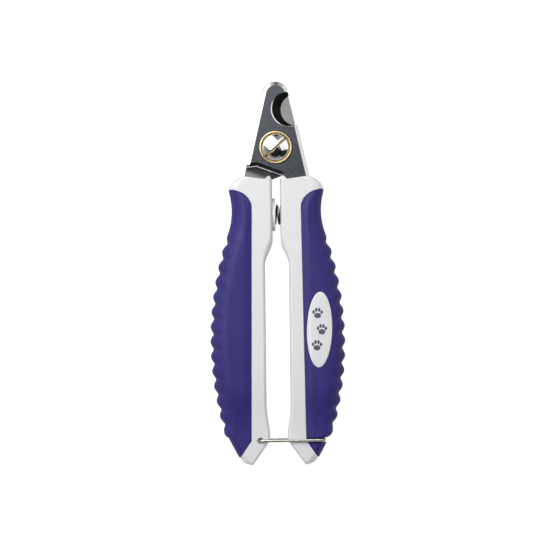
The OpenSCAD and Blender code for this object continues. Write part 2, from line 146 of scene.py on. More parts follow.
# spring seats, latch and badge
SPRING_D = 26.4
SEAT_R, SEAT_X, CUP_WALL, CUP_FLOOR = 4.3, 6.4, 0.9, 5.8
COIL_R, COIL_WIRE, COIL_TURNS, COIL_PLAY = 3.55, 0.85, 8, 0.05
CLOSED_SHARE = 0.06           # share of the coil at each end whose turn lies closed
LATCH_HOLE_R, DIMPLE_R, DIMPLE_DEPTH = 0.72, 1.3, 2.0
NOTCH_TOP_D, NOTCH_LOW_D, NOTCH_X = 114.0, 115.6, 16.95
GROOVE_TOP_D, GROOVE_DEPTH = 113.6, 0.8
LOBE, LOBE_ROUND, LOBE_TOP = Vector((17.95, -110.5)), 3.2, 108.2
BADGE_X, BADGE_D, BADGE_TILT = 16.34, 71.5, math.radians(-1.9)
BADGE_A, BADGE_B, BADGE_PROUD, BADGE_T = 14.8, 4.95, 0.15, 1.4
BADGE_RIM, BADGE_DOME = 0.28, 0.12
POCKET_PLAY, POCKET_FLOOR = 0.06, FACE_HALF + CROWN - BADGE_T

WELD_GAP = 0.015              # points closer than this become one
SCRAP = 0.1                   # side of the largest square scrap that is thrown away

# stage and light
FLOOR_SIZE = 3.0
LIT_AT = (0, 0.05, 0)
# black flags: compass direction and tilt of the middle, radius of the dark and of its soft edge
FLAGS = [(185, 23, 21, 28), (124, 45, 17, 25), (3, 64, 8, 14)]
FLAG_SHADE = 0.08
HORIZON, ZENITH, ZENITH_Z = (0.35, 0.35, 0.355, 1), (0.2, 0.205, 0.215, 1), 0.75
SKY_GREYS = [(0.05, 0.62), (0.4, 0.42)]    # (height, grey) between the two
CAMERA_AT, CAMERA_TURN = (-0.0041, 0.0027), math.radians(-0.68)
CAMERA_DISTANCE, VIEW_WIDTH = 3.0, 0.2082


# ---- outline formulas ----


def ease(t):
    t = min(1.0, max(0.0, t))
    return t * t * (3 - 2 * t)


def mix(a, b, t):
    return a + (b - a) * t


def soft_max(a, b, k):
    return (a + b + math.hypot(a - b, k)) / 2


def soft_min(a, b, k):
    return (a + b - math.hypot(a - b, k)) / 2


def arch(q):
    """Height of a unit circle at q, and 0 outside it."""
    return math.sqrt(max(0.0, 1 - q * q))


def inner_x(d):
    side = THROAT + (MIDDLE - THROAT) * ease((d - FLARE_D) / FLARE_LEN)
    side -= (MIDDLE - KNEE_X) * ease((d - KNEE_D + KNEE_LEN) / KNEE_LEN)
    end = mix(KNEE_X, END_X, (d - KNEE_D) / (END_D - KNEE_D))
    return soft_max(side, end, KNEE_ROUND)


def inner_round(d):
    return EDGE_W + FLARE_EDGE_W * math.exp(-(((d - FLARE_EDGE_D) / FLARE_EDGE_LEN) ** 2))


def waist(d):
    return WAIST_X + WAIST_CURVE * (d - WAIST_D) ** 2


def crest(d):
    return WIDEST_X - CREST_R + math.sqrt(CREST_R**2 - (d - WIDEST_D) ** 2)


def lobe(d):
    return crest(LAST_RIDGE) - LOBE_R + LOBE_R * arch((d - LAST_RIDGE) / LOBE_R)


def tail(d):
    return TAIL_X - TAIL_SLOPE * (d - TAIL_D)


def ridge(d):
    """How far the outline lies in from the crests' line: 0 on a crest, full depth in a valley."""
    if not FIRST_RIDGE <= d <= LAST_RIDGE:
        return 0.0
    c = math.cos(math.pi * (d - FIRST_RIDGE) / PITCH)
    low = math.sqrt(RIDGE_SOFT)
    return RIDGE_DEPTH * (1 - (math.hypot(c, low) - low) / (math.hypot(1, low) - low))


def outer_x(d):
    if d < SHOULDER_D:
        shoulder = SHOULDER_X + SHOULDER_A * arch((SHOULDER_D - d) / SHOULDER_B)
        return soft_min(shoulder, waist(d), SHOULDER_ROUND)
    if d < FIRST_RIDGE:
        return waist(d)
    if d < LAST_RIDGE:
        return min(waist(d), crest(d)) - ridge(d)
    if d < LAST_RIDGE + LOBE_R:
        return max(lobe(d), tail(d))
    if d < NOSE_D:
        return tail(d)
    q = (d - NOSE_D) / (END_D - NOSE_D)
    return END_X + NOSE_A * max(0.0, 1 - q * q) ** NOSE_POWER


def seam_x(d):
    inner = SEAM_TOP_X - SEAM_RX
    if d < SEAM_TOP_D:
        return SEAM_TOP_X - SEAM_RX * arch((SEAM_TOP_D - d) / SEAM_RD)
    if d < SEAM_LOW_D:
        return mix(inner, SEAM_LOW_X, (d - SEAM_TOP_D) / (SEAM_LOW_D - SEAM_TOP_D))
    return SEAM_LOW_X + SEAM_SLOPE * (d - SEAM_LOW_D)


def round_w(d):
    """Width of the rounding along the handle's outer edge."""
    swell = ease((d - SWELL_D) / SWELL_LEN) - ease((d - SHRINK_D) / SHRINK_LEN)
    return OUTER_ROUND + OUTER_SWELL * swell


def crown(d, side):
    """How far the grip stands proud of the core; side is 1 on the right and -1 on the left."""
    rise = CROWN * ease((d - CROWN_IN_D) / CROWN_IN_LEN)
    fade = ease((d - CROWN_OUT_D) / CROWN_OUT_LEN)
    if side < 0:
        return rise * (1 - fade)
    return 0.0 if d > NOTCH_LOW_D else rise * (1 - RIGHT_FADE * fade)


def half_z(x, d, proud):
    """Half the thickness at x: flat over the core, crowned over the grip, round outside."""
    face = mix(FACE_HALF, TAIL_HALF, ease((d - TAPER_D) / TAPER_LEN))
    inward = max(0.0, outer_x(d) - x)
    inward += ridge(d) * ease(inward / RIDGE_REACH)
    e = min(1.0, inward / round_w(d))
    edge = math.sqrt(max(0.0001, 1 - (1 - e) ** OUTER_POWER))
    return (face + proud * ease((x - seam_x(d)) / CROWN_W)) * edge


# ---- mesh helpers ----


def steps(a, b, n):
    return [mix(a, b, i / n) for i in range(n + 1)]


def closing(a, b, n):
    """n + 1 places from a to b that get closer and closer to b."""
    return [b + (a - b) * (1 - i / n) ** 2 for i in range(n + 1)]


def opening(a, b, n):
    return closing(b, a, n)[::-1]


def merged(*runs):
    """One rising list of the runs' places, without near doubles."""
    out = []
    for d in sorted(d for run in runs for d in run):
        if not out or d - out[-1] > 0.004:
            out.append(d)
    return out


def to_object(name, verts, faces):
    mesh = bpy.data.meshes.new(name)
    mesh.from_pydata([(PIVOT + Vector(v)) * MM for v in verts], [], faces)
    bm = bmesh.new()
    bm.from_mesh(mesh)
    bmesh.ops.remove_doubles(bm, verts=bm.verts, dist=0.002 * MM)
    bmesh.ops.recalc_face_normals(bm, faces=bm.faces)
    bm.to_mesh(mesh)
    bm.free()
    obj = bpy.data.objects.new(name, mesh)
    bpy.context.scene.collection.objects.link(obj)
    return obj


def skin_faces(count, n, first=0):
    """Faces that close a solid through count rings of n points, numbered from first."""
    faces = [
        (i * n + j, i * n + (j + 1) % n, (i + 1) * n + (j + 1) % n, (i + 1) * n + j)
        for i in range(count - 1)
        for j in range(n)
    ]
    faces += [tuple(range(n)), tuple((count - 1) * n + j for j in range(n))]
    return [tuple(first + v for v in face) for face in faces]


def loft(name, rings):
    """A closed solid through rings of points that all have the same count."""
    verts = [p for ring in rings for p in ring]
    return to_object(name, verts, skin_faces(len(rings), len(rings[0])))


def prism(name, outline, z0, z1):
    return loft(name, [[(x, y, z) for x, y in outline] for z in (z0, z1)])


def block(name, x0, x1, d0, d1, z0, z1):
    """A box between two distances out, two distances down the tool and two heights."""
    return prism(name, [(x0, -d1), (x1, -d1), (x1, -d0), (x0, -d0)], z0, z1)


def oval(a, b, n, centre=(0, 0)):
    """Points round an oval whose half axes are a along x and b along y."""
    angles = [2 * math.pi * i / n for i in range(n)]
    return [(centre[0] + a * math.cos(t), centre[1] + b * math.sin(t)) for t in angles]


def circle(centre, r, n, start=0.0, turn=360.0):
    """Points round a circle, or along an arc where turn is under 360 degrees."""
    count = n if turn >= 360 else n + 1
    angles = [math.radians(start + turn * i / n) for i in range(count)]
    return [(centre[0] + r * math.cos(a), centre[1] + r * math.sin(a)) for a in angles]


def turned(name, profile, n=160):
    """A solid of revolution about the pivot's z axis; the profile's points are (radius, z)."""
    rings = []
    for r, z in profile:
        rings.append([(x, y, z) for x, y in circle((0, 0), max(r, 0.001), n)])
    return loft(name, rings)


def tube(name, path, r, sides):
    """A round bar along a path of points."""
    rings = []
    across = None
    for i, p in enumerate(path):
        p = Vector(p)
        ahead = Vector(path[min(i + 1, len(path) - 1)]) - Vector(path[max(i - 1, 0)])
        ahead.normalize()
        across = ahead.orthogonal() if across is None else across - across.dot(ahead) * ahead
        across.normalize()
        other = ahead.cross(across)
        ring = []
        for k in range(sides):
            a = 2 * math.pi * k / sides
            ring.append(p + r * (math.cos(a) * across + math.sin(a) * other))
        rings.append(ring)
    return loft(name, rings)


def settle(obj):
    """Applies the object's modifiers to its mesh."""
    seen = bpy.context.evaluated_depsgraph_get()
    mesh = bpy.data.meshes.new_from_object(obj.evaluated_get(seen))
    obj.modifiers.clear()
    obj.data = mesh
    return obj


def weld(obj, gap=WELD_GAP):
    """Joins points that nearly touch, and mends the mesh where a cut or a bevel left scraps."""
    mesh = bmesh.new()
    mesh.from_mesh(obj.data)
    bmesh.ops.remove_doubles(mesh, verts=mesh.verts, dist=gap * MM)
    shared = {face for edge in mesh.edges if len(edge.link_faces) > 2 for face in edge.link_faces}
    scraps = [face for face in shared if face.calc_area() < (SCRAP * MM) ** 2]
    bmesh.ops.delete(mesh, geom=scraps, context="FACES")
    rims = [edge for edge in mesh.edges if len(edge.link_faces) == 1]
    bmesh.ops.holes_fill(mesh, edges=rims, sides=0)
    loose = [edge for edge in mesh.edges if not edge.link_faces]
    bmesh.ops.delete(mesh, geom=loose, context="EDGES")
    mesh.to_mesh(obj.data)
    mesh.free()
    return obj


def carve(obj, *cutters):
    """Cuts each cutter out of the object, and removes the cutter."""
    for cutter in cutters:
        cut = obj.modifiers.new("cut", "BOOLEAN")
        cut.operation = "DIFFERENCE"
        cut.solver = "EXACT"
        cut.object = cutter
        settle(obj)
        bpy.data.objects.remove(cutter)
    return weld(obj)


def soften(obj, width, segments, angle):
    """Rounds the edges that are sharper than the angle, in degrees."""
    edge = obj.modifiers.new("edges", "BEVEL")
    edge.width = width * MM
    edge.segments = segments
    edge.limit_method = "ANGLE"
    edge.angle_limit = math.radians(angle)
    edge.miter_outer = "MITER_ARC"
    return obj


def smooth(obj, sharp=35):
    for face in obj.data.polygons:
        face.use_smooth = True
    obj.data.set_sharp_from_angle(angle=math.radians(sharp))
    return obj


def flat_faced(obj, sharp, gap=WELD_GAP):
    """Smooth, but with the large flat faces shaded flat up to their rounded edges."""
    smooth(weld(settle(obj), gap), sharp)
    normals = obj.modifiers.new("normals", "WEIGHTED_NORMAL")
    normals.keep_sharp = True
    return settle(obj)


def paint(obj, *materials):
    obj.data.materials.clear()
    for material in materials:
        obj.data.materials.append(material)
    return obj


# ---- materials ----


class Finish:
    """A Principled material, and what builds its patterns in object coordinates, in mm."""

    def __init__(self, name, color, roughness, metallic=0.0, **sockets):
        self.material = bpy.data.materials.new(name)
        self.material.use_nodes = True
        self.nodes = self.material.node_tree.nodes
        self.links = self.material.node_tree.links
        self.shader = self.nodes["Principled BSDF"]
        self.color = color
        self.shader.inputs["Base Color"].default_value = (*color, 1)
        self.shader.inputs["Roughness"].default_value = roughness
        self.shader.inputs["Metallic"].default_value = metallic
        for socket, value in sockets.items():
            self.shader.inputs[socket.replace("_", " ")].default_value = value
        place = self.nodes.new("ShaderNodeTexCoord")
        self.scaled = self.nodes.new("ShaderNodeMapping")
        self.scaled.inputs["Scale"].default_value = (1 / MM,) * 3
        self.links.new(place.outputs["Object"], self.scaled.inputs["Vector"])

    def grain(self, size, detail=4.0, stretch=(1, 1, 1), rough=0.55):
        """A noise whose patches measure about size, in millimetres."""
        shaped = self.nodes.new("ShaderNodeMapping")
        shaped.inputs["Scale"].default_value = [1 / (size * s) for s in stretch]
        self.links.new(self.scaled.outputs["Vector"], shaped.inputs["Vector"])
        cloud = self.nodes.new("ShaderNodeTexNoise")
        cloud.inputs["Scale"].default_value = 1
        cloud.inputs["Detail"].default_value = detail
        cloud.inputs["Roughness"].default_value = rough
        self.links.new(shaped.outputs["Vector"], cloud.inputs["Vector"])
        return cloud.outputs["Fac"]

    def ramp(self, source, low, high, span=(0.3, 0.7)):
        """Turns a pattern into a value that runs from low to high."""
        ranged = self.nodes.new("ShaderNodeMapRange")
        ranged.inputs["From Min"].default_value = span[0]
        ranged.inputs["From Max"].default_value = span[1]
        ranged.inputs["To Min"].default_value = low
        ranged.inputs["To Max"].default_value = high
        self.links.new(source, ranged.inputs["Value"])
        return ranged.outputs["Result"]

    def tint(self, source, dark, light, span=(0.3, 0.7)):
        """Varies the base colour between two shares of it."""
        ramp = self.nodes.new("ShaderNodeValToRGB")
        ramp.color_ramp.elements[0].position = span[0]
        ramp.color_ramp.elements[1].position = span[1]
        ramp.color_ramp.elements[0].color = (*[c * dark for c in self.color], 1)
        ramp.color_ramp.elements[1].color = (*[min(1, c * light) for c in self.color], 1)
        self.links.new(source, ramp.inputs["Fac"])
        self.links.new(ramp.outputs["Color"], self.shader.inputs["Base Color"])
        return self

    def bands(self, place, direction, stops):
        """A value that changes with the distance from a plane; stops are (distance, value)."""
        offset = self.nodes.new("ShaderNodeVectorMath")
        offset.operation = "SUBTRACT"
        offset.inputs[1].default_value = place
        self.links.new(self.scaled.outputs["Vector"], offset.inputs[0])
        dot = self.nodes.new("ShaderNodeVectorMath")
        dot.operation = "DOT_PRODUCT"
        dot.inputs[1].default_value = direction
        self.links.new(offset.outputs["Vector"], dot.inputs[0])
        low, high = stops[0][0], stops[-1][0]
        ramp = self.nodes.new("ShaderNodeValToRGB")
        ramp.color_ramp.interpolation = "EASE"
        ends = ramp.color_ramp.elements
        ends[0].color = (*[stops[0][1]] * 3, 1)
        ends[1].color = (*[stops[-1][1]] * 3, 1)
        for distance, value in stops[1:-1]:
            ends.new((distance - low) / (high - low)).color = (value, value, value, 1)
        self.links.new(self.ramp(dot.outputs["Value"], 0, 1, (low, high)), ramp.inputs["Fac"])
        return ramp.outputs["Color"]

    def darken(self, source):
        """Multiplies the base colour by a pattern."""
        base = self.shader.inputs["Base Color"]
        product = self.nodes.new("ShaderNodeVectorMath")
        product.operation = "MULTIPLY"
        self.links.new(base.links[0].from_socket, product.inputs[0])
        self.links.new(source, product.inputs[1])
        self.links.new(product.outputs["Vector"], base)
        return self

    def gloss(self, source, low, high, span=(0.3, 0.7)):
        self.links.new(self.ramp(source, low, high, span), self.shader.inputs["Roughness"])
        return self

    def bump(self, *layers):
        """Layers are (pattern, height in millimetres)."""
        normal = None
        for source, height in layers:
            node = self.nodes.new("ShaderNodeBump")
            node.inputs["Strength"].default_value = 1
            node.inputs["Distance"].default_value = height * MM
            self.links.new(source, node.inputs["Height"])
            if normal is not None:
                self.links.new(normal, node.inputs["Normal"])
            normal = node.outputs["Normal"]
        self.links.new(normal, self.shader.inputs["Normal"])
        return self


def core_plastic():
    """Satin moulded ABS, near white."""
    f = Finish("core_plastic", (0.705, 0.705, 0.71), 0.4, Coat_Weight=0.06, Coat_Roughness=0.25)
    f.tint(f.grain(9, 3), 0.985, 1.01)
    f.gloss(f.grain(1.2, 4), 0.36, 0.48)
    f.bump((f.grain(0.22, 3), 0.004), (f.grain(7, 2), 0.02))
    return f.material


def grip_rubber():
    """Soft violet rubber with a matte, finely etched skin."""
    f = Finish("grip_rubber", (0.0235, 0.0165, 0.15), 0.45, Specular_IOR_Level=0.33)
    f.tint(f.grain(11, 3), 0.92, 1.08)
    f.gloss(f.grain(2.5, 4), 0.4, 0.54)
    f.bump((f.grain(0.16, 2), 0.01), (f.grain(0.9, 3), 0.01))
    return f.material


def blade_steel():
    """Blued, fine-blasted steel of the blades' outer faces."""
    f = Finish("blade_steel", (0.08, 0.0858, 0.0955), 0.25, metallic=1.0)
    f.tint(f.grain(0.7, 5, rough=0.7), 0.93, 1.05)
    f.gloss(f.grain(0.35, 4), 0.22, 0.31)
    f.bump((f.grain(0.12, 3), 0.003), (f.grain(0.05, 2, stretch=(1, 14, 1)), 0.001))
    return f.material


def ground_steel():
    """Bright ground bevels and edges, with fine grinding lines."""
    f = Finish("ground_steel", (0.88, 0.87, 0.85), 0.2, metallic=1.0)
    f.tint(f.grain(0.8, 3, stretch=(6, 1, 1)), 0.96, 1.02)
    f.gloss(f.grain(0.3, 3, stretch=(5, 1, 1)), 0.16, 0.26)
    f.bump((f.grain(0.06, 2, stretch=(12, 1, 1)), 0.0008))
    return f.material


def notch_steel():
    """The hollow of the cutting notch, near black."""
    f = Finish("notch_steel", (0.014, 0.0155, 0.014), 0.28, metallic=1.0)
    f.tint(f.grain(1.1, 4), 0.8, 1.2)
    f.gloss(f.grain(0.3, 3, stretch=(1, 1, 6)), 0.22, 0.36)
    return f.material


def slide_steel(side):
    """A blade's lapped inner face: a warmer grey with fine scratches, and a painted shadow
    just below the line where the other blade's belly lies over it."""
    f = Finish("slide_steel", (0.27, 0.26, 0.245), 0.55, metallic=1.0)
    start, end = (Vector((-side * x, y, 0)) for x, y in BELLY[1:3])
    down = Vector(((end - start).y, -(end - start).x, 0)).normalized() * -side
    # painted shadow: darkens the inner face just below the other blade's belly edge
    belly_shadow_paint = f.bands(PIVOT + start, down, BELLY_SHADOW)
    f.tint(f.grain(0.7, 5, rough=0.7), 0.95, 1.04)
    f.darken(belly_shadow_paint)
    f.gloss(f.grain(0.25, 4, stretch=(1, 3, 1)), 0.5, 0.6)
    f.bump((f.grain(0.07, 2, stretch=(10, 1, 1)), 0.001))
    return f.material


def brass():
    f = Finish("brass", (0.86, 0.66, 0.32), 0.2, metallic=1.0)
    f.tint(f.grain(1.2, 4), 0.93, 1.05)
    f.gloss(f.grain(0.4, 3), 0.15, 0.26)
    f.bump((f.grain(0.1, 2), 0.001))
    return f.material


def recess_shade_brass():
    """Brass painted dark brown as painted shade, for the screw's slot and the seat's inner wall
    round it.
    """
    f = Finish("recess_shade_brass", (0.24, 0.185, 0.09), 0.4, metallic=1.0)
    f.tint(f.grain(0.5, 4), 0.7, 1.15)
    f.gloss(f.grain(0.3, 3), 0.32, 0.5)
    return f.material


def chrome():
    f = Finish("chrome", (0.9, 0.91, 0.9), 0.06, metallic=1.0)
    f.tint(f.grain(2, 3), 0.97, 1.02)
    f.gloss(f.grain(0.6, 4), 0.04, 0.1)
    return f.material


def zinc_steel():
    f = Finish("zinc_steel", (0.6, 0.61, 0.62), 0.3, metallic=1.0)
    f.tint(f.grain(0.8, 5), 0.84, 1.08)
    f.gloss(f.grain(0.3, 4), 0.22, 0.42)
    f.bump((f.grain(0.15, 3), 0.003))
    return f.material


def spring_steel():
    f = Finish("spring_steel", (0.26, 0.25, 0.23), 0.28, metallic=1.0)
    f.tint(f.grain(0.5, 4), 0.75, 1.2)
    f.gloss(f.grain(0.3, 3), 0.2, 0.38)
    return f.material


def latch_steel():
    f = Finish("latch_steel", (0.6, 0.58, 0.51), 0.28, metallic=1.0)
    f.tint(f.grain(0.7, 4, stretch=(4, 1, 1)), 0.92, 1.05)
    f.gloss(f.grain(0.3, 3, stretch=(6, 1, 1)), 0.19, 0.32)
    f.bump((f.grain(0.08, 2, stretch=(8, 1, 1)), 0.001))
    return f.material


def badge_plastic():
    f = Finish("badge_plastic", (0.72, 0.72, 0.735), 0.26, Coat_Weight=0.3, Coat_Roughness=0.1)
    f.tint(f.grain(5, 3), 0.985, 1.015)
    f.bump((f.grain(0.3, 2), 0.002))
    return f.material


def badge_ink():
    f = Finish("badge_ink", (0.075, 0.072, 0.11), 0.38)
    f.tint(f.grain(0.6, 3), 0.85, 1.2)
    f.bump((f.grain(0.2, 2), 0.002))
    return f.material


# ---- handles ----


def section_points(top):
    """A full ring from its upper half: the lower half mirrors it."""
    return top + [(x, -z) for x, z in reversed(top)]


def outer_run(a, b, d, proud, n):
    """Upper outline from a out to the rounded outer edge at b, closest together at the edge."""
    width = min(0.9 * (b - a), round_w(d))
    xs = [b - width * f * f for f in steps(1, 0, n)]
    return [(x, half_z(x, d, proud)) for x in xs]


def grip_section(d, side):
    a, b = seam_x(d), outer_x(d)
    proud = crown(d, side)
    width = min(0.9 * (b - a), round_w(d))
    r = min(SEAM_ROUND, 0.3 * (b - a - width) + 0.01)
    start = a + SEAM_GAP
    top = half_z(start + r, d, proud)
    corner = []
    for t in steps(0, math.pi / 2, 4)[:-1]:
        corner.append((start + r * (1 - math.cos(t)), top - r * (1 - math.sin(t))))
    flat = [(x, half_z(x, d, proud)) for x in steps(start + r, b - width, 12)[:-1]]
    return section_points(corner + flat + outer_run(a, b, d, proud, 26))


def core_section(d):
    a = inner_x(d)
    whole = d < GRIP_TOP or d > GRIP_END
    b = outer_x(d) if whole else seam_x(d)
    r = min(inner_round(d), 0.33 * (b - a))
    top = half_z(a + r, d, 0)
    inside = []
    for t in steps(0, math.pi / 2, 9)[:-1]:
        inside.append((a + r * (1 - math.cos(t)), top - EDGE_H * (1 - math.sin(t))))
    if whole:
        width = min(0.9 * (b - a - r), round_w(d))
        flat = [(x, half_z(x, d, 0)) for x in steps(a + r, b - width, 8)[:-1]]
        edge = [(b - width * f * f, half_z(b - width * f * f, d, 0)) for f in steps(1, 0, 16)]
    else:
        f = min(SEAM_ROUND, 0.2 * (b - a - r))
        flat = [(x, half_z(x, d, 0)) for x in steps(a + r, b - f, 16)[:-1]]
        edge = []
        for t in steps(math.pi / 2, 0, 8):
            edge.append((b - f * (1 - math.cos(t)), half_z(b - f, d, 0) - f * (1 - math.sin(t))))
    return section_points(inside + flat + edge)


def handle_loft(name, stations, section, side):
    rings = [[(side * x, -d, z) for x, z in section(d)] for d in stations]
    return loft(name, rings)


def grip_stations():
    ridges = steps(FIRST_RIDGE, LAST_RIDGE, 16 * (RIDGES - 1))
    return merged(
        opening(GRIP_TOP, SEAM_TOP_D, 26),
        steps(SEAM_TOP_D, FIRST_RIDGE, 24),
        ridges,
        closing(LAST_RIDGE, LAST_RIDGE + LOBE_R - 0.01, 18),
        steps(LAST_RIDGE + LOBE_R, GRIP_END, 16),
        [NOTCH_LOW_D, NOTCH_LOW_D + 0.01],
    )


def core_stations():
    return merged(
        opening(TOP_D + 0.01, GRIP_TOP - 0.01, 18),
        opening(GRIP_TOP, SEAM_TOP_D, 26),
        steps(SEAM_TOP_D, FLARE_D, 8),
        steps(FLARE_D, FLARE_D + FLARE_LEN, 26),
        steps(FLARE_D + FLARE_LEN, FINE_D, 12),
        steps(FINE_D, GRIP_END, 48),
        closing(GRIP_END + 0.01, END_D - 0.01, 16),
    )


def right_groove(z0, z1):
    """The shallow groove that a leg of the latch lies in."""
    return block("groove", SEAM_LOW_X - 2, SEAM_LOW_X + 12, GROOVE_TOP_D, NOTCH_LOW_D, z0, z1)


def lobe_corner():
    """What rounds the right grip's outer corner above the latch's notch."""
    low, far = LOBE.y - LOBE_ROUND - 0.5, LOBE.x + 8
    arc = circle(LOBE, LOBE_ROUND, 32, -90, 90)[::-1]
    top = [(far, -LOBE_TOP), (LOBE.x + LOBE_ROUND, -LOBE_TOP)]
    return prism("corner", [(LOBE.x, low), (far, low), *top, *arc], -PAST, PAST)


def badge_point(x, y):
    """From the badge's own axes, y along it, to the handle's."""
    c, s = math.cos(BADGE_TILT), math.sin(BADGE_TILT)
    return BADGE_X + c * x - s * y, -BADGE_D + s * x + c * y


def badge_outline(grow, n=96):
    return [badge_point(x, y) for x, y in oval(BADGE_B + grow, BADGE_A + grow, n)]


def grip(name, side, material):
    obj = handle_loft(name, grip_stations(), lambda d: grip_section(d, side), side)
    if side > 0:
        groove_z = TAIL_HALF - GROOVE_DEPTH
        carve(
            obj,
            block("hook", NOTCH_X, NOTCH_X + 9, NOTCH_TOP_D, NOTCH_LOW_D, -PAST, PAST),
            right_groove(groove_z, PAST),
            right_groove(-PAST, -groove_z),
            prism("pocket", badge_outline(POCKET_PLAY), POCKET_FLOOR, PAST_TOP),
            lobe_corner(),
        )
        soften(obj, 0.1, 2, 50)
    return paint(flat_faced(obj, 40, 0.01), material)


def seat_cutter(r, x0, x1):
    """A bore along x for the spring's end."""
    rings = []
    for x in (x0, x1):
        rings.append([(x, y, z) for y, z in circle((-SPRING_D, 0), r, 96)])
    return loft("seat", rings)


def above_rim(side):
    """What the core loses at its top, above the line in RIM_LINE."""
    far = 20
    rim = [(0, RIM_LINE[0][1]), *RIM_LINE, (far, TOP_D), (far, 0), (0, 0)]
    return prism("rim", [(side * x, -d) for x, d in rim], -PAST_TOP, PAST_TOP)


def tang_cutter(side):
    """The room for a blade's tang: the front blade's on the right, the rear one's on the left."""
    z0, z1 = BLADE_GAP / 2 - TANG_PLAY, BLADE_GAP / 2 + BLADE_T + TANG_PLAY
    outline = [(side * x, y) for x, y in blade_outline(side)]
    return prism("tang", outline, side * z0, side * z1)


def core(name, side, material):
    obj = handle_loft(name, core_stations(), core_section, side)
    if side > 0:
        seat = seat_cutter(SEAT_R, 0, SEAT_X)
    else:
        seat = seat_cutter(SEAT_R + CUP_WALL, 0, -CUP_FLOOR - CUP_WALL)
    carve(obj, above_rim(side), tang_cutter(side), seat)
    if side < 0:
        dimple = circle(LATCH_HINGE.xy, DIMPLE_R, 64)
        carve(
            obj,
            prism("hole", circle(LATCH_HINGE.xy, LATCH_HOLE_R, 48), -PAST_HOLE, PAST_HOLE),
            prism("dimple", dimple, TAIL_HALF - DIMPLE_DEPTH, PAST_HOLE),
            prism("dimple", dimple, -PAST_HOLE, DIMPLE_DEPTH - TAIL_HALF),
        )
    soften(obj, 0.18, 3, 50)
    return paint(flat_faced(obj, 40), material)


# ---- blades ----


def blade_lean():
    """Angle of the long edge, which runs from the heel and just touches the tip's arc."""
    to_tip = TIP - HEEL
    return math.atan2(to_tip.y, to_tip.x) + math.asin(TIP_R / to_tip.length)


def blade_outline(side):
    """The stamping without its notch, as the front blade lies; side -1, the rear, has a lug."""
    first = math.degrees(math.acos((TIP_FLAT_X - TIP.x) / TIP_R))
    tip = circle(TIP, TIP_R, 64, first, 90 + math.degrees(blade_lean()) - first)
    tang = circle(((TANG_IN + TANG_OUT) / 2, -TANG_END), (TANG_OUT - TANG_IN) / 2, 24, 180, 180)
    belly = BELLY if side > 0 else LUG_BELLY
    start = [tuple(ROOT), tuple(HORN), (TIP_FLAT_X, TIP_CORNER_Y)]
    return [*start, *tip, tuple(HEEL), *belly, *tang, (TANG_OUT, -TANG_TOP)]


def edge_cutter(points, outward, profile):
    """What is ground off along an edge: a profile swept along points, each with its way out."""
    face_z = profile[0][1]
    (u0, z0), (u1, z1) = profile[-2:]
    past = 2.0
    beyond = z1 + (z1 - z0) * past / (u0 - u1)
    away = face_z + math.copysign(1, face_z - z1)
    section = [(-u, z) for u, z in profile]
    section += [(past, beyond), (past, away), (-profile[0][0], away)]
    rings = []
    for p, out in zip(points, outward):
        rings.append([(p[0] + u * out[0], p[1] + u * out[1], z) for u, z in section])
    return loft("edge", rings)


def edge_bevels():
    """The bevel round the long edge and the tip, and the bevel and the break down the spine."""
    lean = blade_lean()
    along = Vector((math.cos(lean), math.sin(lean)))
    points, outward = [HEEL - HEEL_LEAD * along], [Vector((-along.y, along.x))]
    end = math.degrees(lean) + 90
    for x, y in circle((0, 0), 1, 72, end, -end + 0.001):
        outward.append(Vector((x, y)))
        points.append(TIP + TIP_R * Vector((x, y)))
    spine = (ROOT - HORN).normalized()
    spine_out = [Vector((-spine.y, spine.x))] * 2
    cutters = [edge_cutter(points, outward, BEVEL)]
    for (top, low), profile in ((BEVEL_SPAN, BEVEL), (BREAK_SPAN, SPINE_BREAK)):
        cutters.append(edge_cutter([HORN + top * spine, ROOT + low * spine], spine_out, profile))
    return cutters


def belly_grind():
    """The two facets ground along the belly: a wide shallow one and a narrow steep one."""
    a, b, c = (Vector(p) for p in BELLY[:3])
    first, second = (b - a).normalized(), (c - b).normalized()
    outs = [Vector((run.y, -run.x)) for run in (first, second)]
    corner = (outs[0] + outs[1]).normalized()
    corner /= corner.dot(outs[0])
    return edge_cutter([a - BELLY_LEAD * first, b, c], [outs[0], corner, outs[1]], BELLY_GRIND)


def notch_cutter():
    """The claw's notch, a slanting cone between the cutting edge and the outer face."""
    rings = []
    for share in (-0.02, 1.02):
        centre = NOTCH_EDGE.lerp(NOTCH_FACE, share)
        r = mix(NOTCH_EDGE_R, NOTCH_FACE_R, share)
        rings.append([(x, y, BLADE_T * share) for x, y in circle(centre, r, 192)])
    return loft("notch", rings)


def notch_rim_cutter():
    """A narrow chamfer round the notch, between the outer face and the sloping wall."""
    wall = 1 - RIM_DROP / BLADE_T
    low = NOTCH_EDGE.lerp(NOTCH_FACE, wall)
    low_r = mix(NOTCH_EDGE_R, NOTCH_FACE_R, wall)
    rings = []
    for share in (-0.5, 1.3):
        centre = NOTCH_FACE.lerp(low, share)
        r = mix(NOTCH_FACE_R + RIM_W, low_r, share)
        rings.append([(x, y, BLADE_T - RIM_DROP * share) for x, y in circle(centre, r, 192)])
    return loft("rim", rings)


def in_notch(p):
    """True on the notch's hollow wall, for a point in the blade's own axes."""
    share = p.z / BLADE_T
    centre = NOTCH_EDGE.lerp(NOTCH_FACE, share)
    return abs((p.xy - centre).length - mix(NOTCH_EDGE_R, NOTCH_FACE_R, share)) < 0.008


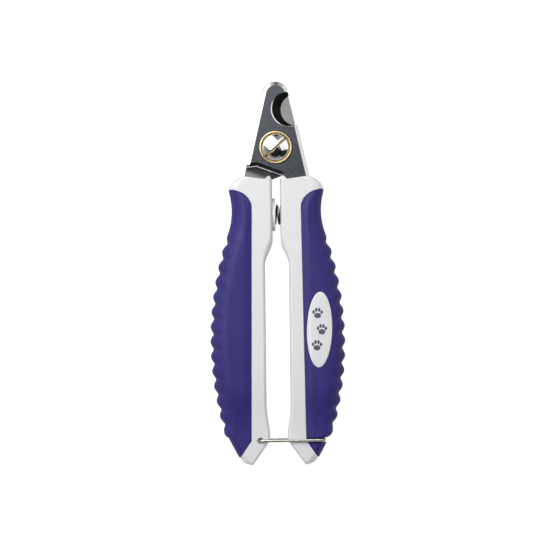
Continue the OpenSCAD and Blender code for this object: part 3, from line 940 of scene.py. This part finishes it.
def blade(name, side, materials):
    """Outer face up for side 1; side -1 is the same blade turned over."""
    obj = prism(name, blade_outline(side), 0, BLADE_T)
    eye = prism("eye", circle((0, 0), EYE_R, 128), -1, BLADE_T + 1)
    holes = [
        prism("hole", circle(((TANG_IN + TANG_OUT) / 2, -d), LOCK_HOLE_R, 48), -1, BLADE_T + 1)
        for d in LOCK_HOLES_D
    ]
    carve(obj, eye, *holes, *edge_bevels(), belly_grind(), notch_cutter(), notch_rim_cutter())
    paint(obj, *materials)
    for face in obj.data.polygons:
        p = Vector(face.center) / MM - PIVOT
        up = face.normal.z
        if up > 0.96:
            face.material_index = FACE
        elif up < -0.995:
            face.material_index = SLIDE
        else:
            face.material_index = HOLLOW if in_notch(p) else GROUND
    flip = Matrix.Rotation(math.pi, 4, "Y") if side < 0 else Matrix.Identity(4)
    place = Matrix.Translation(PIVOT * MM)
    lift = Matrix.Translation((0, 0, side * BLADE_GAP / 2 * MM))
    obj.data.transform(place @ lift @ flip @ place.inverted())
    return flat_faced(obj, 12)


# ---- pivot hardware ----


def arc_profile(centre, r, a, b, n):
    """Points (radius, z) along an arc from angle a to b, in radians from level."""
    return [(centre[0] + r * math.cos(t), centre[1] + r * math.sin(t)) for t in steps(a, b, n)]


def bush(materials):
    """Sleeve and flange, with a raised rim that is rounded outside and chamfered inside."""
    low, high = node_box("pivot_bush")
    rim = high.x
    flange = high.z - FLANGE_H
    r = RIM_ROUND
    profile = [(BORE_R, low.z), (SLEEVE_R, low.z), (SLEEVE_R, flange)]
    profile += [(rim - RIM_BREAK, flange), (rim, flange + RIM_BREAK)]
    profile += arc_profile((rim - r, high.z - r), r, 0, math.pi / 2, 8)
    profile += [(rim - r - RIM_LAND, high.z), (SEAT_RIM, high.z - RIM_CHAMFER)]
    profile += [(SEAT_RIM, flange + SEAT_H), (BORE_R, flange + SEAT_H)]
    obj = paint(profile_ring("brass_bush", profile), *materials)
    for face in obj.data.polygons:
        p = face.center / MM - PIVOT
        # the seat's inner chamfer and wall get the painted shade of the recess round the screw
        # head
        if p.z > flange + SEAT_H and p.xy.length < rim - r - RIM_LAND and face.normal.z < 0.98:
            face.material_index = 1
    return obj


def profile_ring(name, profile, n=160):
    """A ring turned about the pivot's axis, its profile closed on itself."""
    count = len(profile)
    verts, faces = [], []
    for i in range(n):
        a = 2 * math.pi * i / n
        verts += [(r * math.cos(a), r * math.sin(a), z) for r, z in profile]
    for i in range(n):
        for j in range(count):
            a, b = i * count, (i + 1) % n * count
            faces.append((a + j, b + j, b + (j + 1) % count, a + (j + 1) % count))
    return flat_faced(to_object(name, verts, faces), 40)


def screw(materials):
    """Domed, with a rounded edge and a straight slot."""
    low, high = node_box("pivot_screw")
    under = high.z - HEAD_H
    rise = HEAD_H - HEAD_EDGE_H
    dome_r = (HEAD_R**2 + rise**2) / (2 * rise)
    tilt = math.asin((HEAD_R - HEAD_ROUND) / (dome_r - HEAD_ROUND))
    edge = (HEAD_R - HEAD_ROUND, high.z - dome_r + (dome_r - HEAD_ROUND) * math.cos(tilt))
    profile = [(0, low.z), (SHANK_R - SHANK_CHAMFER, low.z)]
    profile += [(SHANK_R, low.z + SHANK_CHAMFER), (SHANK_R, under)]
    profile += [(HEAD_R - HEAD_BREAK, under), (HEAD_R, under + HEAD_BREAK)]
    profile += arc_profile(edge, HEAD_ROUND, 0, math.pi / 2 - tilt, 8)
    profile += arc_profile((0, high.z - dome_r), dome_r, math.pi / 2 - tilt, math.pi / 2, 24)[1:]
    obj = turned("pivot_screw_head", profile)
    half, long = SLOT_W / 2, HEAD_R + 2
    slot = block("slot", -long, long, -half, half, high.z - SLOT_DEPTH, high.z + 2)
    middle = Matrix.Translation(PIVOT * MM)
    slot.data.transform(middle @ Matrix.Rotation(SLOT_TURN, 4, "Z") @ middle.inverted())
    carve(obj, slot)
    soften(obj, 0.28, 4, 40)
    paint(flat_faced(obj, 30), *materials)
    turn = Matrix.Rotation(-SLOT_TURN, 3, "Z")
    for face in obj.data.polygons:
        p = turn @ (face.center / MM - PIVOT)
        # the slot's walls and floor get the painted shade
        if abs(p.y) < half + 0.02 and under < p.z < high.z - 0.5:
            face.material_index = 1
    return obj


def cad_piece(node, material, width, angle=35):
    """A CAD node that stays, with its finish and softened edges."""
    obj = frame["nodes"][node]
    soften(obj, width, 3, angle)
    return smooth(paint(obj, material))


# ---- spring, latch, badge ----


def spring(material):
    """A coil from the cup's floor to the seat in the right core, with closed ends."""
    r = COIL_WIRE / 2
    x0, x1 = -CUP_FLOOR + r + COIL_PLAY, SEAT_X - r - COIL_PLAY
    per_turn = 40
    count = COIL_TURNS * per_turn
    path = []
    for i in range(count + 1):
        a = 2 * math.pi * i / per_turn
        run = min(1, max(0, (i / count - CLOSED_SHARE) / (1 - 2 * CLOSED_SHARE)))
        y, z = -SPRING_D + COIL_R * math.cos(a), COIL_R * math.sin(a)
        path.append((mix(x0, x1, run), y, z))
    obj = tube("spring_coil", path, r, 16)
    return paint(smooth(obj, 60), material)


def badge(material):
    """An oval plate that follows the grip's crown, with a rounded rim."""
    n = 96

    def ring(share, drop):
        points = []
        for place in oval(share * BADGE_B, share * BADGE_A, n):
            x, y = badge_point(*place)
            points.append((x, y, half_z(x, -y, crown(-y, 1)) + BADGE_PROUD - drop))
        return points

    rings = [[(x, y, POCKET_FLOOR + 0.05) for x, y in badge_outline(-0.02, n)]]
    for t in steps(0, math.pi / 2, 8):
        share = 1 - BADGE_RIM / BADGE_B * (1 - math.cos(t))
        rings.append(ring(share, BADGE_RIM * (1 - math.sin(t))))
    for share in steps(0.92, 0.02, 14):
        rings.append(ring(share, -BADGE_DOME * (1 - share**2)))
    return paint(smooth(loft("badge_oval", rings), 40), material)


def badge_top(x, y):
    """Height of the badge's domed face at a place in the badge's own axes."""
    across, along = badge_point(x, y)
    dome = BADGE_DOME * (1 - (x / BADGE_B) ** 2 - (y / BADGE_A) ** 2)
    return half_z(across, -along, crown(-along, 1)) + BADGE_PROUD + dome


def paw_prints(material):
    """Three small paw prints along the badge, each a heel pad and four toes of raised ink."""
    outer_toes = [(side * 1.55, 0.85, 0.5, 0.75) for side in (-1, 1)]
    inner_toes = [(side * 0.58, 1.75, 0.5, 0.8) for side in (-1, 1)]
    pads = [(0, -0.5, 1.35, 1.05), *outer_toes, *inner_toes]
    places = [(-0.9, -6.6), (0.9, -0.3), (-0.9, 6.0)]
    rings = [(1.0, -0.05), (1.0, 0.02), (0.86, 0.045), (0.45, 0.06)]
    n = 28
    verts, faces = [], []
    for px, py in places:
        for x, y, a, b in pads:
            *walls, under, top = skin_faces(len(rings), n, len(verts))
            faces += [*walls, under[::-1], top]
            for share, rise in rings:
                for p in oval(share * a, share * b, n, (px + x, py + y)):
                    verts.append((*badge_point(*p), badge_top(*p) + rise))
    return paint(smooth(to_object("badge_prints", verts, faces), 50), material)


# ---- assembly ----


def build():
    white, violet = core_plastic(), grip_rubber()
    outer, ground, hollow = blade_steel(), ground_steel(), notch_steel()
    handles = {"left": ("left_handle", -1), "right": ("right_handle", 1)}
    for word, (body, side) in handles.items():
        shell = core(f"{word}_core_shell", side, white)
        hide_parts(f"{word}_core")
        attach(shell, body)
        skin = grip(f"{word}_grip_skin", side, violet)
        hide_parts(f"{word}_grip")
        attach(skin, body)

    blades = {"front_blade": ("right_handle", 1), "rear_blade": ("left_handle", -1)}
    for node, (body, side) in blades.items():
        obj = blade(f"{node}_ground", side, (outer, ground, slide_steel(side), hollow))
        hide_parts(node)
        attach(obj, body)

    # painted shade for the screw's slot and the bush's seat
    recess_shade = recess_shade_brass()
    ring = bush((brass(), recess_shade))
    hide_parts("pivot_bush")
    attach(ring, "left_handle")
    head = screw((chrome(), recess_shade))
    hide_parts("pivot_screw")
    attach(head, "left_handle")
    zinc = zinc_steel()
    cad_piece("lock_washer", zinc, 0.12)
    cad_piece("pivot_nut", zinc, 0.12)
    cad_piece("spring_cup", core_plastic(), 0.2)
    cad_piece("latch_wire", latch_steel(), 0.1, 60)

    coil = spring(spring_steel())
    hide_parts("return_spring")
    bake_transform(coil)

    plate = badge(badge_plastic())
    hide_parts("grip_badge")
    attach(plate, "right_handle")
    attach(paw_prints(badge_ink()), "right_handle")


# ---- stage, light and camera ----


def floor():
    """A white sweep that is lit from below, as on a light table."""
    size = FLOOR_SIZE
    mesh = bpy.data.meshes.new("floor")
    corners = [(-size, -size, 0), (size, -size, 0), (size, size, 0), (-size, size, 0)]
    mesh.from_pydata(corners, [], [(0, 1, 2, 3)])
    obj = bpy.data.objects.new("floor", mesh)
    bpy.context.scene.collection.objects.link(obj)
    paper = bpy.data.materials.new("paper")
    paper.use_nodes = True
    shader = paper.node_tree.nodes["Principled BSDF"]
    shader.inputs["Base Color"].default_value = (0.3, 0.3, 0.3, 1)
    shader.inputs["Roughness"].default_value = 0.9
    shader.inputs["Emission Color"].default_value = (1, 1, 1, 1)
    shader.inputs["Emission Strength"].default_value = 0.92
    paint(obj, paper)
    obj.visible_glossy = False


def towards(compass, tilt):
    """A direction: compass runs clockwise from the blade tips, tilt is down from straight up."""
    c, t = math.radians(compass), math.radians(tilt)
    return Vector((math.sin(t) * math.sin(c), math.sin(t) * math.cos(c), math.cos(t)))


def softbox(name, compass, tilt, distance, size, glow):
    """A softbox as bright as glow, where 1 is a white wall."""
    data = bpy.data.lights.new(name, "AREA")
    data.shape = "RECTANGLE"
    data.size, data.size_y = size
    data.energy = math.pi * size[0] * size[1] * glow
    obj = bpy.data.objects.new(name, data)
    obj.location = towards(compass, tilt) * distance
    obj.rotation_euler = (Vector(LIT_AT) - obj.location).to_track_quat("-Z", "Y").to_euler()
    obj.visible_camera = False
    bpy.context.scene.collection.objects.link(obj)


def sky():
    """A grey studio, lightest just above the horizon, with black flags that the metal reflects."""
    world = bpy.data.worlds.new("studio")
    world.use_nodes = True
    nodes, links = world.node_tree.nodes, world.node_tree.links
    place = nodes.new("ShaderNodeTexCoord")
    split = nodes.new("ShaderNodeSeparateXYZ")
    ramp = nodes.new("ShaderNodeValToRGB")
    stops = ramp.color_ramp.elements
    stops[0].position, stops[0].color = 0.0, HORIZON
    stops[1].position, stops[1].color = ZENITH_Z, ZENITH
    for place_z, grey in SKY_GREYS:
        stops.new(place_z).color = (grey, grey, grey * 1.01, 1)
    links.new(place.outputs["Generated"], split.inputs["Vector"])
    links.new(split.outputs["Z"], ramp.inputs["Fac"])
    light = ramp.outputs["Color"]
    for compass, tilt, inner, outer in FLAGS:
        dot = nodes.new("ShaderNodeVectorMath")
        dot.operation = "DOT_PRODUCT"
        dot.inputs[1].default_value = towards(compass, tilt)
        links.new(place.outputs["Generated"], dot.inputs[0])
        shade = nodes.new("ShaderNodeMapRange")
        shade.inputs["From Min"].default_value = math.cos(math.radians(outer))
        shade.inputs["From Max"].default_value = math.cos(math.radians(inner))
        shade.inputs["To Min"].default_value = 1
        shade.inputs["To Max"].default_value = FLAG_SHADE
        links.new(dot.outputs["Value"], shade.inputs["Value"])
        dim = nodes.new("ShaderNodeVectorMath")
        dim.operation = "SCALE"
        links.new(light, dim.inputs[0])
        links.new(shade.outputs["Result"], dim.inputs["Scale"])
        light = dim.outputs["Vector"]
    links.new(light, nodes["Background"].inputs["Color"])
    bpy.context.scene.world = world


def lights():
    softbox("key", 322, 34, 0.52, (0.5, 0.5), 3.5)
    softbox("side", 62, 45, 0.8, (0.8, 0.66), 0.85)
    softbox("edge", 300, 68, 0.6, (0.8, 0.16), 1.3)


def camera():
    """Straight above the tool, with a long lens, turned a little about its own axis."""
    data = bpy.data.cameras.new("camera")
    data.lens = data.sensor_width * CAMERA_DISTANCE / VIEW_WIDTH
    obj = bpy.data.objects.new("camera", data)
    top = FACE_HALF * MM + PIVOT.z * MM
    obj.location = (*CAMERA_AT, CAMERA_DISTANCE + top)
    obj.rotation_euler = (0, 0, CAMERA_TURN)
    bpy.context.scene.collection.objects.link(obj)
    bpy.context.scene.camera = obj


build()
floor()
sky()
lights()
camera()
bpy.context.scene.view_settings.view_transform = "Standard"
